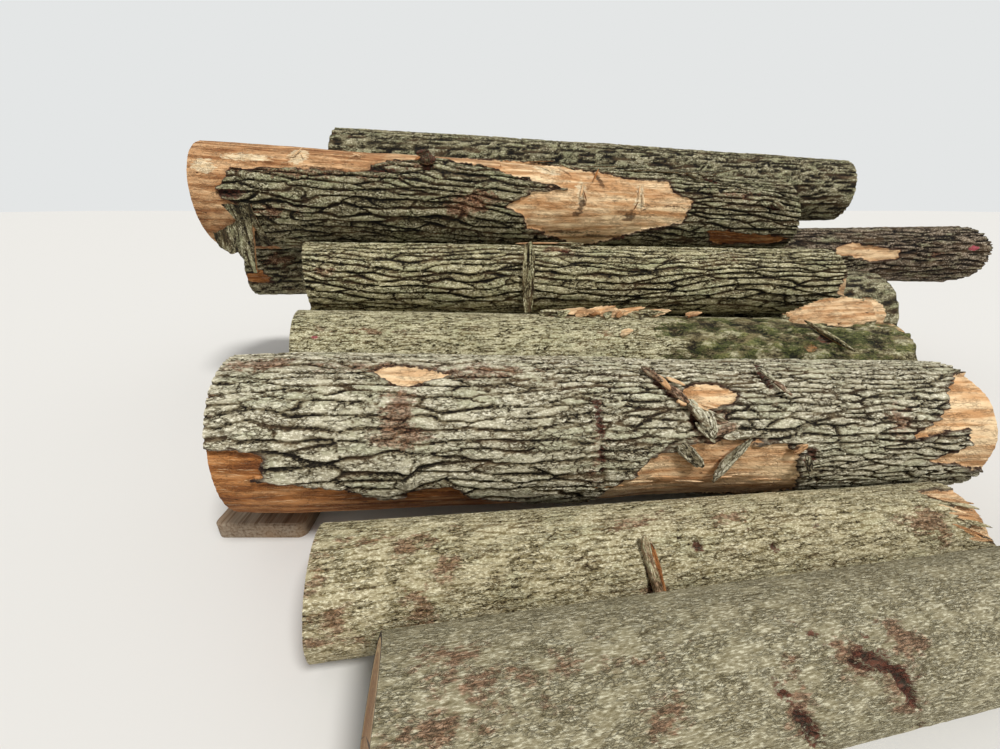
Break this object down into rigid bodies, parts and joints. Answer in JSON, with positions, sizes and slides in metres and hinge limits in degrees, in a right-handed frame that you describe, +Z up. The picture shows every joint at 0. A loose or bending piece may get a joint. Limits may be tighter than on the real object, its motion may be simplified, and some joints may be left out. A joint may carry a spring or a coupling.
{
  "type": "heap of logs",
  "caption": "Heap of crooked, tapered oak saw logs stacked lengthwise in three layers, bark on, with bare patches, moss and sawn limb scars.",
  "frame": {"origin": "middle of the heap's bounding box at ground level", "axes": "+X along the logs to the viewer's right, +Y away from the side that the picture shows, +Z up"},
  "size_m": [7.7284, 5.7256, 2.3611],
  "materials": {
    "oak_bark": "rough furrowed bark",
    "sawn_timber": "weathered sawn timber"
  },
  "bodies": {
    "root": {"bark_strip": "oak_bark", "bearer_left": "sawn_timber", "bearer_right": "sawn_timber", "log_back": "oak_bark", "log_bed_last": "oak_bark", "log_bed_middle": "oak_bark", "log_bed_rear": "oak_bark", "log_crest": "oak_bark", "log_front": "oak_bark", "log_left_rear": "oak_bark", "log_main": "oak_bark", "log_mossy": "oak_bark", "log_right_rear": "oak_bark", "log_second": "oak_bark", "log_slim": "oak_bark", "log_top": "oak_bark"}
  },
  "joints": []
}
